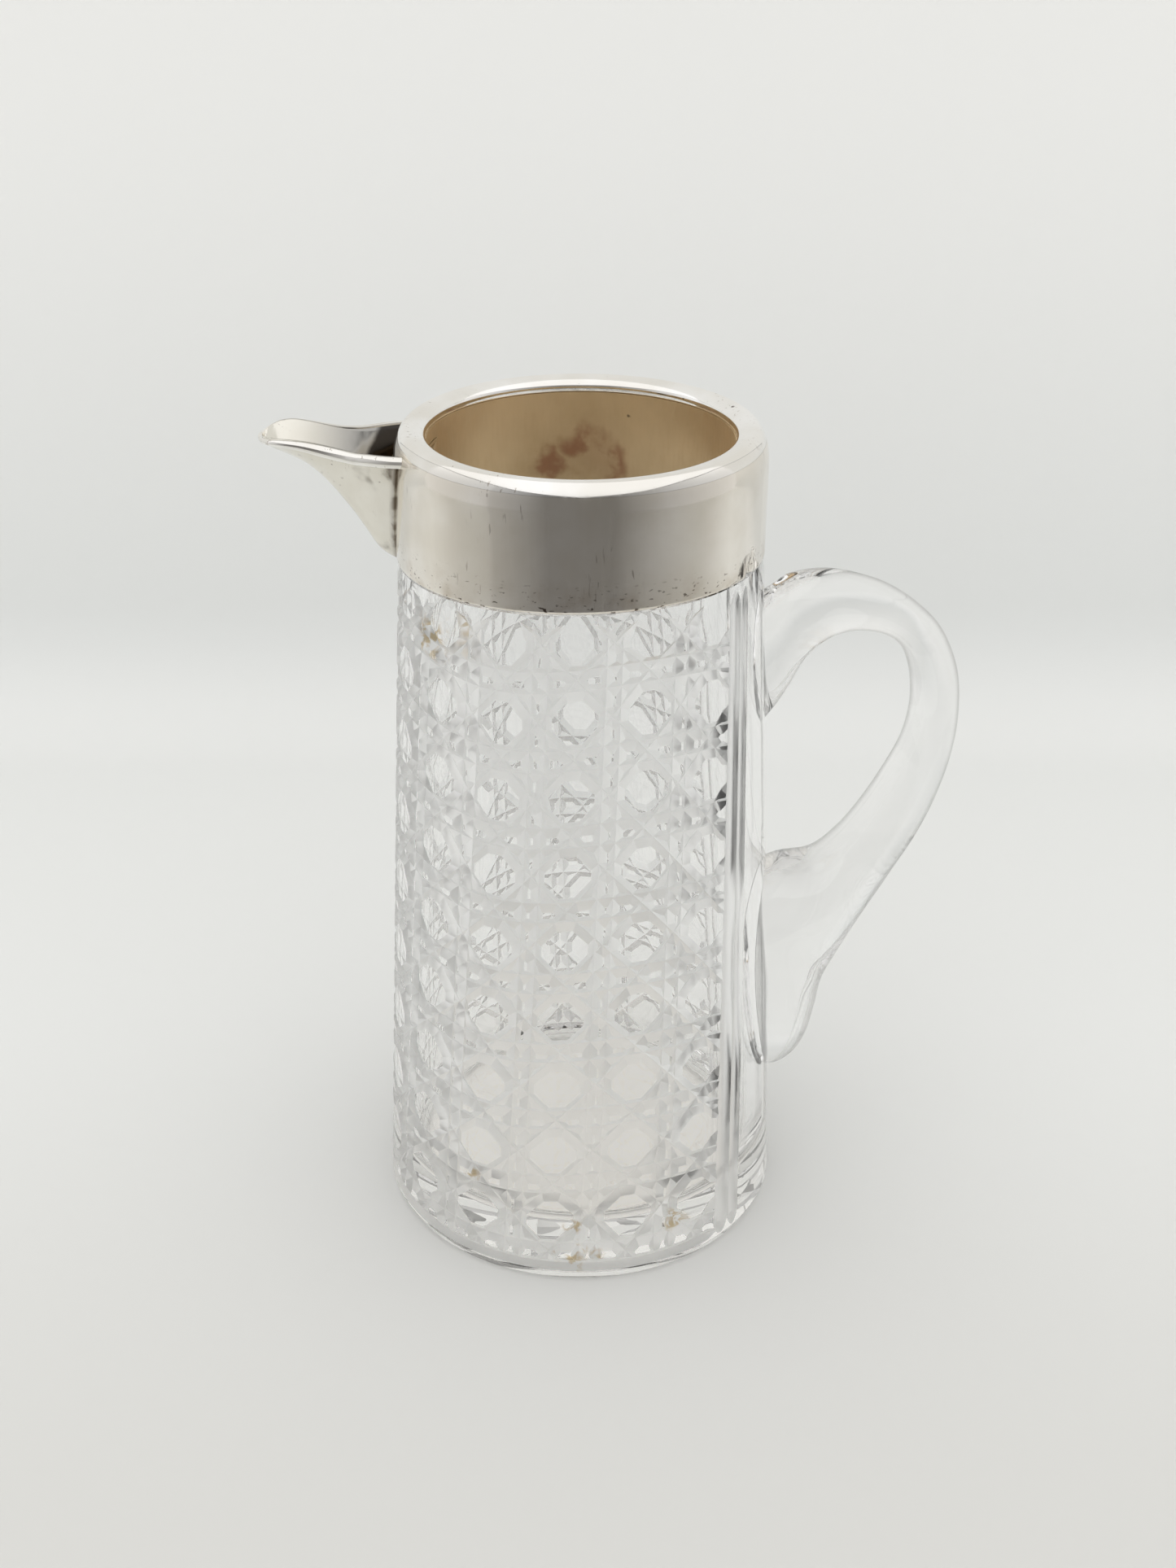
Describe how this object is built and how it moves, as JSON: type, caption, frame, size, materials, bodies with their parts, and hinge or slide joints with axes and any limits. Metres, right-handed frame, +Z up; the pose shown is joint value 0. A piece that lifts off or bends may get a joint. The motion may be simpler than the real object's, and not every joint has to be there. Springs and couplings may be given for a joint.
{
  "type": "mixing jug",
  "caption": "Tall tapering mixing jug in cut glass with a solid glass loop handle, a silver collar with a domed mouth rim, and a V-shaped beak spout.",
  "frame": {"origin": "middle of the flat base, on the surface that the jug stands on", "axes": "+Z up along the jug's axis, +X towards the handle, -X towards the spout"},
  "size_m": [0.2066, 0.128, 0.2573],
  "materials": {
    "crystal": "clear lead crystal, deeply wheel-cut and polished",
    "handle_glass": "clear lead crystal, fire-polished",
    "silver": "hand-polished sterling silver, lightly scratched and tarnished",
    "silver_rim": "bright polished sterling silver",
    "silver_spout": "polished sterling silver with tarnish in the creases",
    "tarnished_silver": "silver dulled to a gold-brown tarnish",
    "plaster": "matt cast plaster, out of sight"
  },
  "bodies": {
    "root": {"glass_body": "crystal", "handle": "handle_glass", "collar_sleeve": "silver", "mouth_rim": "silver_rim", "inner_liner": "tarnished_silver", "plaster_bed": "plaster", "spout_throat": "tarnished_silver", "spout_shell": "silver_spout", "spout_lip_wire": "silver_rim"}
  },
  "joints": []
}
